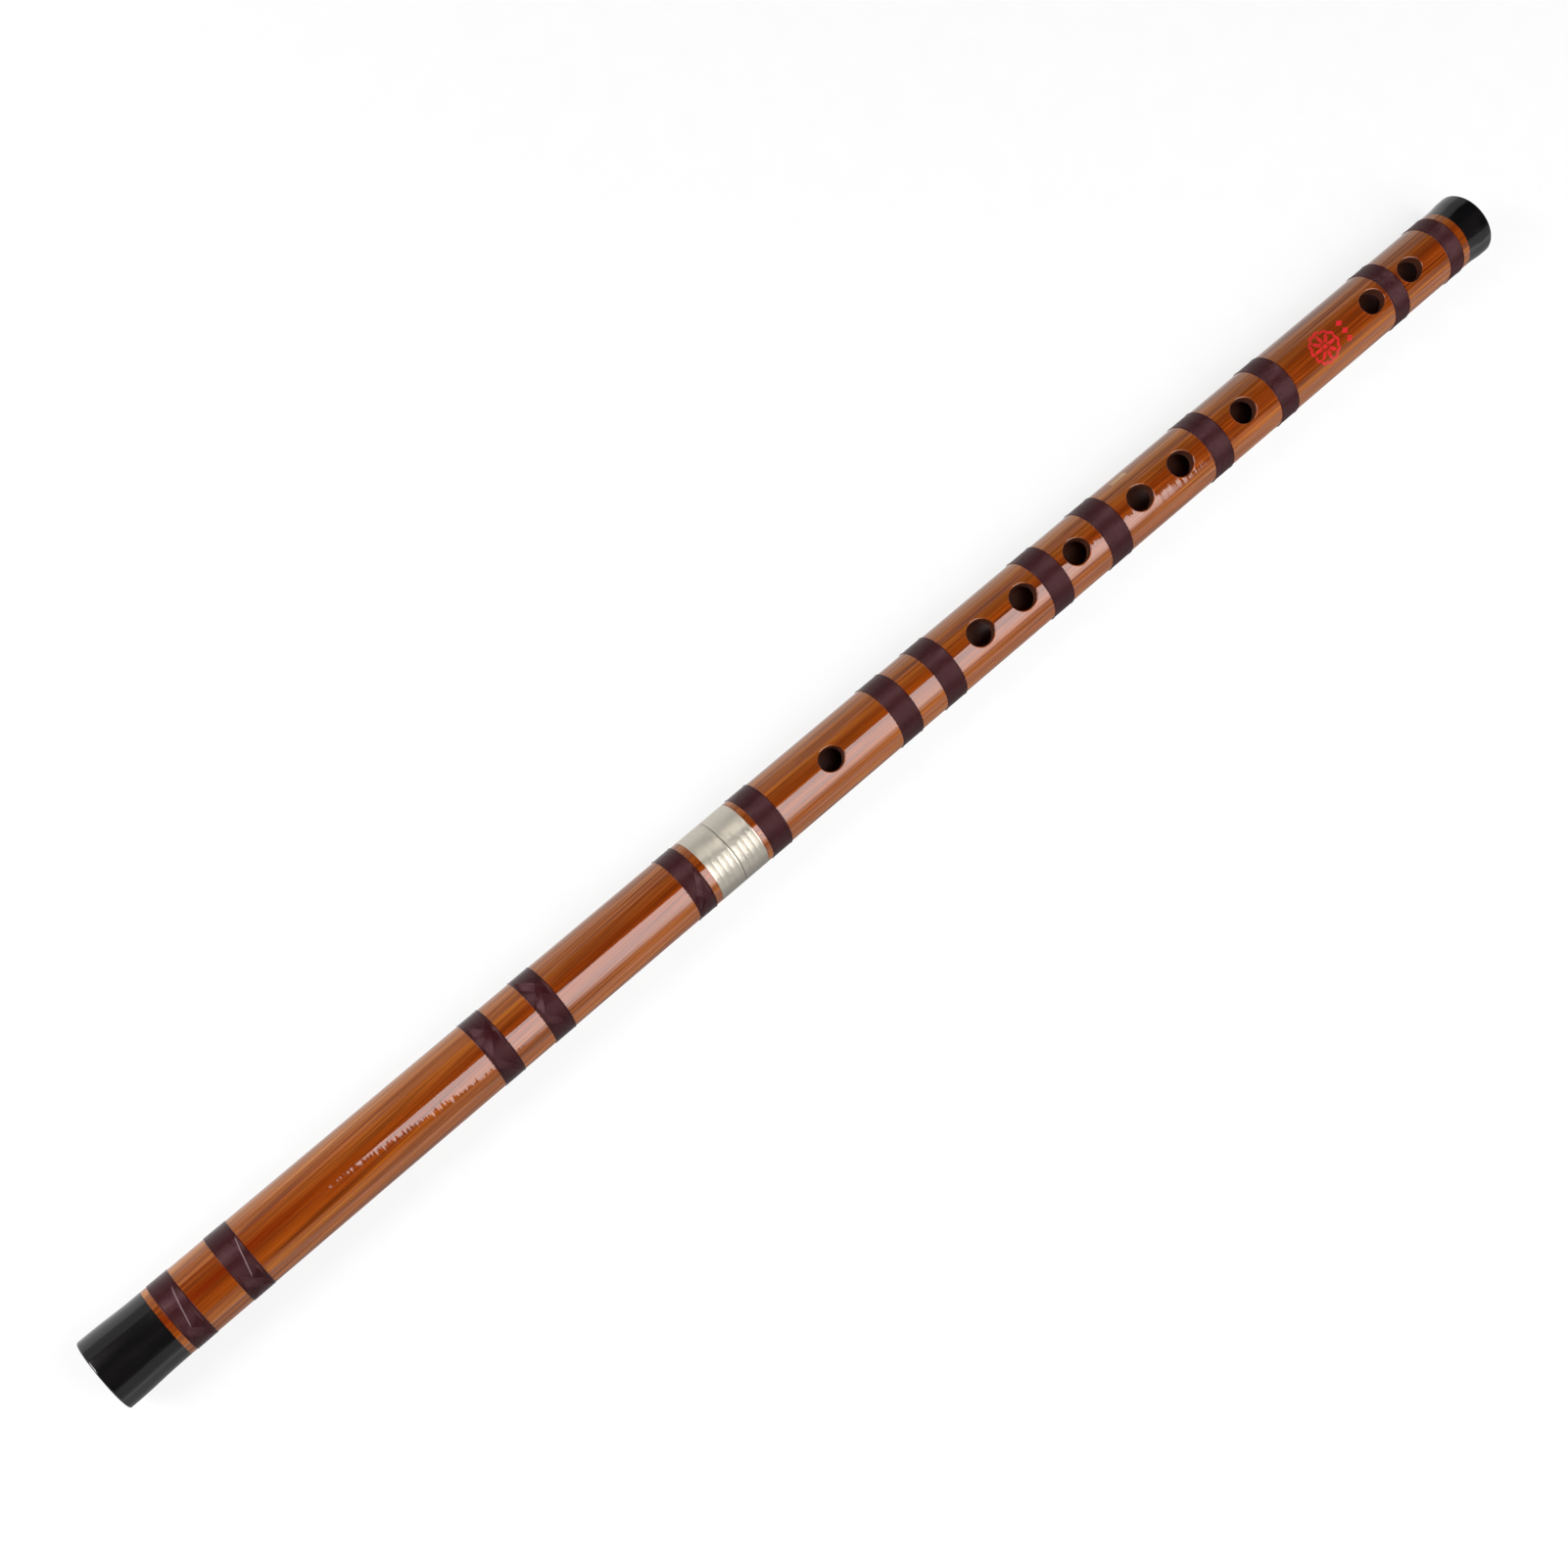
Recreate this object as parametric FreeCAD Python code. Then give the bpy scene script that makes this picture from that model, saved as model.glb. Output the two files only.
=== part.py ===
import FreeCAD, Part

import math
import os

from FreeCAD import Vector

# A two-section transverse bamboo flute (dizi), in millimetres, lying on a surface as it is stored.
# +X runs from the head end to the foot end, +Z is up, and the finger holes face up.
# The head section is stored turned half a turn on its tenon, so its blow hole faces down.
# Stations along the flute are counted from the blow hole, towards the foot.

# The two sections
HEAD_REACH = 178.3        # blow hole to the head end
BLOW_TO_SEAM = 41.5       # blow hole to the seam between the sections
SOUNDING_LENGTH = 323.7   # blow hole to the first vent
VENT_PITCH = 18.8         # first vent to second vent
TAIL_REACH = 35.3         # second vent to the foot end
TUBE_OD = 21.5
TUBE_WALL = 3.5

# Holes: length along the flute and width across it, all of them slightly oval
BLOW_HOLE = (10.5, 9.0)
MEMBRANE_HOLE = (8.6, 7.2)
FINGER_HOLE = (9.5, 8.2)
VENT_HOLE = (9.6, 8.0)
TASSEL_HOLE = (6.2, 6.0)
MEMBRANE_SHARE = 0.572    # of the way from the blow hole to the first finger hole
FINGER_SHARES = (0.446, 0.502, 0.5745, 0.662, 0.7185, 0.8085)   # of the sounding length
TASSEL_BEFORE_VENT = (27.2, 12.2)   # the two tassel holes underneath, before the first vent
HOLE_EDGE = 0.35          # rounding of each hole's outer edge

# End caps: rings over a turned-down end, with a lip that covers the end grain
HEAD_CAP_LENGTH = 20.4
FOOT_CAP_LENGTH = 10.7
CAP_WALL = 1.3            # tube surface down to the turned end
CAP_LIP = 2.6
CAP_FLARE = 0.45          # how far a cap swells above the tube towards its end
CAP_BARREL = 1.5          # straight stretch beside the bamboo
CAP_LAND = 1.6            # straight stretch at the end, with its rounded edge
CAP_ROUND = 0.5

# Metal joint: a ferrule on each section, a tenon tube in the head, a liner in the body
FERRULE_LENGTH = 8.93
FERRULE_WALL = 0.5
METAL_ROUND = 0.12
SEAM_GAP = 0.14
TENON_SET_BACK = 0.25     # how far the tenon's bore stands back from the tube's bore
TENON_WALL = 0.4
TENON_IN_HEAD = 22.0
TENON_IN_BODY = 26.0
LINER_WALL = 0.4
SLIDE_CLEARANCE = 0.03    # tenon in its liner
TURN_CLEARANCE = 0.03     # liner in the body tube
END_CLEARANCE = 0.3       # tenon's end to the bottom of the socket
LINER_END_GAP = 0.1

# Cork stopper beside the blow hole
STOPPER_LENGTH = 15.0
STOPPER_FROM_HOLE = 3.2   # blow hole's edge to the stopper's face
STOPPER_CLEARANCE = 0.03
STOPPER_ROUND = 0.6

# Thread bindings: each fills a shallow groove and stands proud of the tube
GROOVE_DEPTH = 0.25
BINDING_PROUD = 0.45
BINDING_ROUND = 0.3
SEAM_TO_BINDING = 14.6    # seam to the centre of the binding on each side of it
BLOW_TO_BINDING = 27.3    # blow hole to the pair behind it
HOLE_TO_BINDING = 16.45   # outermost finger hole to the binding beside it
CAP_TO_BINDING = (5.3, 6.4)   # head cap and foot cap to their nearest bindings
PAIR_PITCH = 18.5         # centre to centre of a pair around the membrane or behind the blow hole
END_PAIR_PITCH = 19.0     # centre to centre of the pair at the head end
HEAD_BINDING_WIDTHS = (6.8, 7.3, 7.1, 7.3, 6.5)
BODY_BINDING_WIDTHS = (7.5, 8.2, 8.1, 8.5, 9.0, 8.3, 8.0, 7.0, 6.7)

# What follows from those
TUBE_R = TUBE_OD / 2
BORE_R = TUBE_R - TUBE_WALL
AXIS_Z = TUBE_R + max(BINDING_PROUD, CAP_FLARE)
TENON_BORE_R = BORE_R + TENON_SET_BACK
TENON_R = TENON_BORE_R + TENON_WALL
SOCKET_R = TENON_R + SLIDE_CLEARANCE
LINER_R = SOCKET_R + LINER_WALL
LINER_SEAT_R = LINER_R + TURN_CLEARANCE
SPIGOT_R = TUBE_R - FERRULE_WALL
CAP_SEAT_R = TUBE_R - CAP_WALL

HEAD_END = -HEAD_REACH
FOOT_END = SOUNDING_LENGTH + VENT_PITCH + TAIL_REACH
MIDDLE = (HEAD_END + FOOT_END) / 2
HEAD_FACE = BLOW_TO_SEAM - SEAM_GAP / 2
BODY_FACE = BLOW_TO_SEAM + SEAM_GAP / 2
TENON_START = BLOW_TO_SEAM - TENON_IN_HEAD
TENON_END = BLOW_TO_SEAM + TENON_IN_BODY
SOCKET_END = TENON_END + END_CLEARANCE
HEAD_CAP_IN = HEAD_END + HEAD_CAP_LENGTH
FOOT_CAP_IN = FOOT_END - FOOT_CAP_LENGTH
STOPPER_FACE = -BLOW_HOLE[0] / 2 - STOPPER_FROM_HOLE

UP, DOWN = 1, -1
FINGER_HOLES = [share * SOUNDING_LENGTH for share in FINGER_SHARES]
VENTS = [SOUNDING_LENGTH, SOUNDING_LENGTH + VENT_PITCH]


def between(a, b):
    return (a + b) / 2


def head_holes():
    """(station, size, side) of each hole in the head section, as stored."""
    return [(0, BLOW_HOLE, DOWN)]


def body_holes():
    """(station, size, side) of each hole in the body section."""
    membrane = MEMBRANE_SHARE * FINGER_HOLES[0]
    return ([(membrane, MEMBRANE_HOLE, UP)]
            + [(station, FINGER_HOLE, UP) for station in FINGER_HOLES]
            + [(station, VENT_HOLE, UP) for station in VENTS]
            + [(VENTS[0] - reach, TASSEL_HOLE, DOWN) for reach in TASSEL_BEFORE_VENT])


def head_bindings():
    """(start, end) of each binding on the head section, from the head end."""
    by_cap = HEAD_CAP_IN + CAP_TO_BINDING[0]
    centres = (by_cap,
               by_cap + END_PAIR_PITCH,
               -BLOW_TO_BINDING - PAIR_PITCH,
               -BLOW_TO_BINDING,
               BLOW_TO_SEAM - SEAM_TO_BINDING)
    return [(centre - width / 2, centre + width / 2)
            for centre, width in zip(centres, HEAD_BINDING_WIDTHS)]


def body_bindings():
    """(start, end) of each binding on the body section, from the seam."""
    holes = FINGER_HOLES
    centres = (BLOW_TO_SEAM + SEAM_TO_BINDING,
               holes[0] - HOLE_TO_BINDING - PAIR_PITCH,
               holes[0] - HOLE_TO_BINDING,
               between(holes[1], holes[2]),
               between(holes[2], holes[3]),
               between(holes[4], holes[5]),
               holes[5] + HOLE_TO_BINDING,
               between(*VENTS),
               FOOT_CAP_IN - CAP_TO_BINDING[1])
    return [(centre - width / 2, centre + width / 2)
            for centre, width in zip(centres, BODY_BINDING_WIDTHS)]


def at(point):
    """A (station, radius) point, on the side of the flute that no hole reaches."""
    station, radius = point
    return Vector(station, radius, 0)


def line(a, b):
    return Part.LineSegment(at(a), at(b)).toShape()


def arc(a, middle, b):
    return Part.Arc(at(a), at(middle), at(b)).toShape()


def turned(edges):
    """Solid of revolution about the flute's axis, from the edges of a closed outline."""
    face = Part.Face(Part.Wire(edges))
    return face.revolve(Vector(0, 0, 0), Vector(1, 0, 0), 360)


def ring(start, end, inner, outer):
    """Plain ring with square edges."""
    corners = [(start, inner), (end, inner), (end, outer), (start, outer)]
    return turned([line(a, b) for a, b in zip(corners, corners[1:] + corners[:1])])


def rounded_ring(start, end, inner, outer, radius):
    """Ring, or a plug where inner is 0, with both of its outer edges rounded."""
    mid = radius * (1 - math.sqrt(0.5))
    return turned([line((start, inner), (end, inner)),
                   line((end, inner), (end, outer - radius)),
                   arc((end, outer - radius), (end - mid, outer - mid), (end - radius, outer)),
                   line((end - radius, outer), (start + radius, outer)),
                   arc((start + radius, outer), (start + mid, outer - mid), (start, outer - radius)),
                   line((start, outer - radius), (start, inner))])


def hole_cutter(station, size, side):
    """Straight oval cutter through the top wall or the bottom one."""
    length, width = size
    centre = Vector(station, 0, 0)
    oval = Part.Ellipse(centre + Vector(length / 2, 0, 0), centre + Vector(0, width / 2, 0), centre)
    face = Part.Face(Part.Wire([oval.toShape()]))
    return face.extrude(Vector(0, 0, side * (TUBE_R + 1)))


def rims(shape, holes):
    """Edges where the holes meet the tube's outer surface."""
    found = []
    for edge in shape.Edges:
        points = edge.discretize(8)
        outside = all(abs(math.hypot(p.y, p.z) - TUBE_R) < 0.01 for p in points)
        for station, size, side in holes:
            inside = all(abs(p.x - station) < size[0] / 2 + 0.01 and side * p.z > 0 for p in points)
            if outside and inside:
                found.append(edge)
    return found


def bamboo_tube(start, end, bindings, holes, cuts):
    """Bored tube with a groove for each binding, its holes softened at their outer edges.
    cuts are the rings to turn away for the caps and the metal."""
    grooves = [ring(a, b, TUBE_R - GROOVE_DEPTH, TUBE_R + 1) for a, b in bindings]
    shape = ring(start, end, BORE_R, TUBE_R).cut(cuts + grooves + [hole_cutter(*hole) for hole in holes])
    return shape.makeFillet(HOLE_EDGE, rims(shape, holes)).Solids[0]


def head_tube():
    start = HEAD_END + CAP_LIP
    return bamboo_tube(start, HEAD_FACE, head_bindings(), head_holes(),
                       [ring(start - 1, HEAD_CAP_IN, CAP_SEAT_R, TUBE_R + 1),
                        ring(HEAD_FACE - FERRULE_LENGTH, HEAD_FACE + 1, SPIGOT_R, TUBE_R + 1),
                        ring(TENON_START, HEAD_FACE + 1, 1, TENON_R)])


def body_tube():
    end = FOOT_END - CAP_LIP
    return bamboo_tube(BODY_FACE, end, body_bindings(), body_holes(),
                       [ring(FOOT_CAP_IN, end + 1, CAP_SEAT_R, TUBE_R + 1),
                        ring(BODY_FACE - 1, BODY_FACE + FERRULE_LENGTH, SPIGOT_R, TUBE_R + 1),
                        ring(BODY_FACE - 1, SOCKET_END, 1, LINER_SEAT_R)])


def end_cap(end, inward, length):
    """Open cap whose outside swells in a slow S towards its end.
    inward is 1 where the flute lies towards +X of the cap's end, and -1 where it lies towards -X."""
    lip_r = TUBE_R + CAP_FLARE
    far = length - CAP_BARREL
    half_run = (far - CAP_LAND) / 2
    bend_r = (half_run ** 2 + (CAP_FLARE / 2) ** 2) / CAP_FLARE
    quarter = math.asin(half_run / bend_r) / 2
    dip = bend_r * (1 - math.cos(quarter))
    reach = bend_r * math.sin(quarter)
    round_mid = CAP_ROUND * (1 - math.sqrt(0.5))

    def p(depth, radius):
        return (end + inward * depth, radius)

    waist = p(CAP_LAND + half_run, TUBE_R + CAP_FLARE / 2)
    return turned([line(p(0, BORE_R), p(0, lip_r - CAP_ROUND)),
                   arc(p(0, lip_r - CAP_ROUND), p(round_mid, lip_r - round_mid), p(CAP_ROUND, lip_r)),
                   line(p(CAP_ROUND, lip_r), p(CAP_LAND, lip_r)),
                   arc(p(CAP_LAND, lip_r), p(CAP_LAND + reach, lip_r - dip), waist),
                   arc(waist, p(far - reach, TUBE_R + dip), p(far, TUBE_R)),
                   line(p(far, TUBE_R), p(length, TUBE_R)),
                   line(p(length, TUBE_R), p(length, CAP_SEAT_R)),
                   line(p(length, CAP_SEAT_R), p(CAP_LIP, CAP_SEAT_R)),
                   line(p(CAP_LIP, CAP_SEAT_R), p(CAP_LIP, BORE_R)),
                   line(p(CAP_LIP, BORE_R), p(0, BORE_R))])


def ferrule(start, end):
    return rounded_ring(start, end, SPIGOT_R, TUBE_R, METAL_ROUND)


def bindings(name, spans):
    """One thread binding for each span, numbered from the head end."""
    inner, outer = TUBE_R - GROOVE_DEPTH, TUBE_R + BINDING_PROUD
    return {f"{name}_{number}": rounded_ring(a, b, inner, outer, BINDING_ROUND)
            for number, (a, b) in enumerate(spans, 1)}


def flute():
    """Every piece by name, in stations along the flute's axis."""
    pieces = {
        "head_tube": head_tube(),
        "body_tube": body_tube(),
        "head_cap": end_cap(HEAD_END, 1, HEAD_CAP_LENGTH),
        "foot_cap": end_cap(FOOT_END, -1, FOOT_CAP_LENGTH),
        "head_ferrule": ferrule(HEAD_FACE - FERRULE_LENGTH, HEAD_FACE),
        "body_ferrule": ferrule(BODY_FACE, BODY_FACE + FERRULE_LENGTH),
        "tenon_tube": rounded_ring(TENON_START, TENON_END, TENON_BORE_R, TENON_R, METAL_ROUND),
        "socket_liner": ring(BODY_FACE, SOCKET_END - LINER_END_GAP, SOCKET_R, LINER_R),
        "cork_stopper": rounded_ring(STOPPER_FACE - STOPPER_LENGTH, STOPPER_FACE,
                                     0, BORE_R - STOPPER_CLEARANCE, STOPPER_ROUND),
    }
    pieces.update(bindings("head_binding", head_bindings()))
    pieces.update(bindings("body_binding", body_bindings()))
    return pieces


os.makedirs("parts", exist_ok=True)
for node, piece in flute().items():
    piece.translate(Vector(-MIDDLE, 0, AXIS_Z))
    piece.exportStep(f"parts/{node}.step")
    print(f"{node}: {piece.ShapeType}, valid {piece.isValid()}, {piece.Volume:.1f} mm3")
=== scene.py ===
# %% [markdown]
# # A bamboo flute in two sections
# The flute is a bamboo tube in two sections that meet at a metal joint, bound with lacquered
# thread. Its exact shape was made before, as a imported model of 23 nodes. Here it gets its
# threads, its finishes, a table, its lights and a camera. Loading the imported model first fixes
# where everything goes.

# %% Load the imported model
import math

import bmesh
import bpy
from mathutils import Matrix, Vector


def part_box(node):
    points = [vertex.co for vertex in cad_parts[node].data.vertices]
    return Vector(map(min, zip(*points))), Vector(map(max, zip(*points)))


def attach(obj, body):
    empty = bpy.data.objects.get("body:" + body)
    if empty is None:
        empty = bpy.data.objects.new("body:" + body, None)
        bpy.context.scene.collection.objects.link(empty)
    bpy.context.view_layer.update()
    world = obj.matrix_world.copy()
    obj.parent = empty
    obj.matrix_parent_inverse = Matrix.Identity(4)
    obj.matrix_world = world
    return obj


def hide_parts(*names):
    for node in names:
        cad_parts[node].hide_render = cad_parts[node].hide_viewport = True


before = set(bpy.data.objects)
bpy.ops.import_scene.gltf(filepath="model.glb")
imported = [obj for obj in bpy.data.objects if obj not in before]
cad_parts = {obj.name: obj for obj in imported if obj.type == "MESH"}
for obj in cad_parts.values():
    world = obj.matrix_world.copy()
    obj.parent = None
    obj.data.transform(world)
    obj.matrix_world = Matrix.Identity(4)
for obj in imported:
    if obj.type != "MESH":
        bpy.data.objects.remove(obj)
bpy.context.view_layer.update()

# %% [markdown]
# Everything on the flute is round about one line, so that line's height and the tube's radius
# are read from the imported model, and the rest is placed from them. The flute runs along X, from
# the head end to the foot end, and Blender counts in metres.

# %% Measure the tube
MM = 0.001
low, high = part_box("body_tube")
AXIS_Z = (low.z + high.z) / 2
TUBE_R = (high.y - low.y) / 2
HEAD_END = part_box("head_cap")[0].x
FOOT_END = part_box("foot_cap")[1].x
SEAM_X = (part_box("head_ferrule")[1].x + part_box("body_ferrule")[0].x) / 2
print("tube radius", round(TUBE_R / MM, 3), "mm, seam at", round(SEAM_X / MM, 2), "mm")

# %% [markdown]
# The camera looks down on the flute from above its head end, turned so that the flute lies
# across the picture from corner to corner. Its place is given by where it stands and which ways
# are forward and up, because a turned-down camera is easier to place so than with three angles.

# %% Place the camera
CAMERA_AT = Vector((-213.5, -18.94, 631.09)) * MM
CAMERA_FORWARD = Vector((0.283505, 0.034902, -0.958335))
CAMERA_UP = Vector((0.618172, 0.757345, 0.210457))
LENS = 50.2

scene = bpy.context.scene
camera = bpy.data.objects.new("camera", bpy.data.cameras.new("camera"))
camera.data.lens = LENS
right = CAMERA_FORWARD.cross(CAMERA_UP).normalized()
up = right.cross(CAMERA_FORWARD).normalized()
back = -CAMERA_FORWARD.normalized()
aimed = Matrix((right, up, back)).transposed().to_4x4()
camera.matrix_world = Matrix.Translation(CAMERA_AT) @ aimed
scene.collection.objects.link(camera)
scene.camera = camera
scene.view_settings.view_transform = "Standard"
print("camera", [round(v / MM) for v in CAMERA_AT], "mm, lens", LENS, "mm")

# %% [markdown]
# Finishes and windings are both node trees. Adding a node by hand for every sum would bury a
# pattern in wiring, so a Signal wraps one output of a node, and sums on it add the Math nodes. A
# pattern is then written as an expression.


# %% Write sums on nodes as expressions
class Signal:
    """One output of a node. Sums and products on it add Math nodes."""

    def __init__(self, bench, socket):
        self.bench, self.socket = bench, socket

    def out(self, name):
        """Another output of the same node."""
        return Signal(self.bench, self.socket.node.outputs[name])

    def math(self, operation, *others):
        values = {place: value for place, value in enumerate((self, *others))}
        return self.bench.node("ShaderNodeMath", {"operation": operation}, values)

    def __add__(self, other):
        return self.math("ADD", other)

    def __mul__(self, other):
        return self.math("MULTIPLY", other)

    def __sub__(self, other):
        return self.math("SUBTRACT", other)

    def __truediv__(self, other):
        return self.math("DIVIDE", other)

    def __rsub__(self, other):
        return self.bench.node("ShaderNodeMath", {"operation": "SUBTRACT"}, {0: other, 1: self})

    __radd__ = __add__
    __rmul__ = __mul__

    def between(self, first, last, soft):
        """1 from first to last, and 0 outside, with edges soft wide."""
        rise = self.step(first, soft)
        return rise * (1 - self.step(last, soft))

    def step(self, place, soft):
        """0 before place and 1 after it, with an edge soft wide."""
        return self.bench.node("ShaderNodeMapRange", {"clamp": True}, {
            "Value": self, "From Min": place - soft / 2, "From Max": place + soft / 2})


# %% [markdown]
# A Bench is the tree being built. Its node method adds any node, with its settings first and its
# sockets after, because some settings change which sockets there are. Mixed colours and
# stretched noise come up so often that they get methods of their own.


# %% Build a node tree
class Bench:
    """A node tree being built."""

    def __init__(self, tree):
        self.tree = tree
        tree.nodes.clear()

    def node(self, kind, settings=None, sockets=None):
        """Adds a node, its settings first and then its sockets, and gives its first output."""
        made = self.tree.nodes.new(kind)
        settings = dict(settings or {})
        stops = settings.pop("stops", None)
        for name, value in settings.items():
            setattr(made, name, value)
        if stops:
            made.color_ramp.elements[0].position = stops[0][0]
            made.color_ramp.elements[1].position = stops[-1][0]
            for place, _ in stops[1:-1]:
                made.color_ramp.elements.new(place)
            for element, (place, colour) in zip(made.color_ramp.elements, stops):
                element.color = (*colour, 1)
        for name, value in (sockets or {}).items():
            if isinstance(value, Signal):
                self.tree.links.new(value.socket, made.inputs[name])
            else:
                made.inputs[name].default_value = value
        return Signal(self, made.outputs[0]) if made.outputs else made

    def mix(self, share, first, second, blend="MIX"):
        """second over first, as far as share says. Colours only."""
        colours = {7: second, 6: first}
        for place, colour in colours.items():
            if not isinstance(colour, Signal):
                colours[place] = (*colour, 1)
        return self.node("ShaderNodeMix", {"data_type": "RGBA", "blend_type": blend},
                         {0: share, **colours}).out(2)

    def noise(self, point, stretch, detail=2.0, roughness=0.5, shift=(0, 0, 0)):
        """Noise around 0.5, stretched by giving its features per metre in each direction."""
        placed = self.node("ShaderNodeMapping", None, {"Vector": point, "Location": shift,
                                                       "Scale": stretch})
        return self.node("ShaderNodeTexNoise", None, {"Vector": placed, "Scale": 1.0,
                                                      "Detail": detail, "Roughness": roughness})


def combine(bench, x, y, z):
    return bench.node("ShaderNodeCombineXYZ", None, {0: x, 1: y, 2: z})


# %% [markdown]
# The flute lies on a plain white table top, which glows a little so that it stays white. The
# light is one large soft box, hung beside the flute and well above it, so that its sharp edge
# shows in the lacquer as a bright band along the tube. A smaller box past the head end lights it
# from the other side. The boxes are flat faces that glow and that the camera doesn't see,
# because an area lamp can't have its corners anywhere.

# %% Lay the table and hang the soft boxes
TABLE_REACH = 3.0
TABLE_CORNERS = ((-TABLE_REACH, -TABLE_REACH), (TABLE_REACH, -TABLE_REACH),
                 (TABLE_REACH, TABLE_REACH), (-TABLE_REACH, TABLE_REACH))
TABLE_GREYS = ((0.11, 0.11, 0.11), (0.13, 0.13, 0.13))
TABLE_GLOW = 0.80
BOX_HEIGHT = AXIS_Z + 620 * MM
BOX_CORNERS = ((-182, -50), (371, -63), (1100, -1700), (88, -1700))      # mm, in plan
BOX_LIGHT = (7.0, 1.2)                   # near the flute, and at the far end
BOX_FADE = (-550 * MM, -1500 * MM)       # where along Y it starts to fade, and ends
FILL_CORNERS = ((-1150, 230), (-450, 230), (-450, 820), (-1150, 820))
FILL_LIGHT = (18.0, 18.0)


def flat_mesh(name, corners, height, material):
    """A flat face that is part of the stage."""
    mesh = bpy.data.meshes.new(name)
    mesh.from_pydata([(x, y, height) for x, y in corners], [], [range(len(corners))])
    mesh.materials.append(material)
    placed = bpy.data.objects.new(name, mesh)
    scene.collection.objects.link(placed)
    return placed


def new_finish(name):
    """A new material and the bench to build it on."""
    material = bpy.data.materials.new(name)
    material.use_nodes = True
    return material, Bench(material.node_tree)


def close_finish(bench, surface):
    bench.node("ShaderNodeOutputMaterial", None, {"Surface": surface})


table_white, bench = new_finish("table_white")
mottle = bench.noise(bench.node("ShaderNodeTexCoord").out("Object"), (90, 90, 90), 3)
white = bench.mix(mottle, *TABLE_GREYS)
close_finish(bench, bench.node("ShaderNodeBsdfPrincipled", None, {
    "Base Color": white, "Roughness": 0.9, "Specular IOR Level": 0.1,
    "Emission Color": (1, 1, 1, 1), "Emission Strength": TABLE_GLOW}))
flat_mesh("table", TABLE_CORNERS, 0, table_white)

for name, corners, strength in (("soft_box", BOX_CORNERS, BOX_LIGHT),
                                ("fill_box", FILL_CORNERS, FILL_LIGHT)):
    glow, bench = new_finish(name + "_glow")
    far = bench.node("ShaderNodeTexCoord").out("Object")
    fade = bench.node("ShaderNodeMapRange", {"interpolation_type": "SMOOTHSTEP"}, {
        "Value": bench.node("ShaderNodeSeparateXYZ", None, {0: far}).out("Y"),
        "From Min": BOX_FADE[1], "From Max": BOX_FADE[0],
        "To Min": strength[1], "To Max": strength[0]})
    close_finish(bench, bench.node("ShaderNodeEmission", None, {"Strength": fade}))
    plan = [(x * MM, y * MM) for x, y in corners]
    flat_mesh(name, plan, BOX_HEIGHT, glow).visible_camera = False
print("soft box", round(BOX_HEIGHT / MM), "mm up")

# %% [markdown]
# White walls all round, below a dark ceiling, put a paler veil on the two sides of every round
# and glossy surface. They are painted on the world by direction, so they take up no room. A grey
# card beside the flute, which only reflections meet, keeps the side towards -Y from mirroring
# the table.

# %% Set up the card and the walls
FLAG_NEAR, FLAG_FAR = -12 * MM, -75 * MM     # the card's two edges along Y
FLAG_HEIGHT, FLAG_REACH = 4 * MM, 420 * MM
FLAG_LIGHT = (0.32, 0.85)                    # at its near edge, and at its far one
WALL_LIGHT = 0.65
CEILING_LIGHT = 0.012
WALL_SLOPE = 1.48        # how far out to the side a wall's top is, for each unit up
WALL_SOFT = 0.10

flag, bench = new_finish("flag_grey")
near = bench.node("ShaderNodeSeparateXYZ", None, {
    0: bench.node("ShaderNodeTexCoord").out("Object")}).out("Y")
close_finish(bench, bench.node("ShaderNodeEmission", None, {
    "Strength": bench.node("ShaderNodeMapRange", None, {
        "Value": near, "From Min": FLAG_NEAR, "From Max": FLAG_FAR,
        "To Min": FLAG_LIGHT[0], "To Max": FLAG_LIGHT[1]})}))
card = flat_mesh("flag", ((-FLAG_REACH, FLAG_NEAR), (-FLAG_REACH, FLAG_FAR),
                          (FLAG_REACH, FLAG_FAR), (FLAG_REACH, FLAG_NEAR)), FLAG_HEIGHT, flag)
card.visible_camera = card.visible_diffuse = False
card.visible_shadow = card.visible_transmission = False

room = bpy.data.worlds.new("room")
room.use_nodes = True
scene.world = room
bench = Bench(room.node_tree)
way = bench.node("ShaderNodeSeparateXYZ", None, {
    0: bench.node("ShaderNodeTexCoord").out("Generated")})
wall = (way.out("Y").math("ABSOLUTE") - way.out("Z") * WALL_SLOPE).step(0.0, WALL_SOFT)
end_wall = (way.out("X").math("ABSOLUTE") - way.out("Z") * WALL_SLOPE).step(0.0, WALL_SOFT)
wall = wall.math("MAXIMUM", end_wall)
light = CEILING_LIGHT + (WALL_LIGHT - CEILING_LIGHT) * wall
bench.node("ShaderNodeOutputWorld", None, {"Surface": bench.node("ShaderNodeBackground", None, {
    "Strength": light})})
print("card", round((FLAG_NEAR - FLAG_FAR) / MM), "mm wide, walls at", WALL_LIGHT)

# %% [markdown]
# ## The bamboo
# The tube is bamboo with its skin planed off, stained orange-brown and lacquered. Its patterns
# are read at the point on the surface, so that the grain doesn't end at a seam and runs on
# through the holes. Most of them need to know how far along the tube, round it and out from its
# axis that point is.


# %% Find a point's place on the tube
class TubePlace:
    """Where a point is on the tube: along it, round it and how far out."""

    def __init__(self, bench):
        self.point = bench.node("ShaderNodeTexCoord").out("Object")
        split = bench.node("ShaderNodeSeparateXYZ", None, {0: self.point})
        self.x, across, up = split.out("X"), split.out("Y"), split.out("Z") - AXIS_Z
        self.turn = (across * -1).math("ARCTAN2", up)        # radians from the top, towards -Y
        self.radius = (across * across + up * up).math("SQRT")


print("places are counted from the axis,", round(AXIS_Z / MM, 2), "mm above the table")

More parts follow.
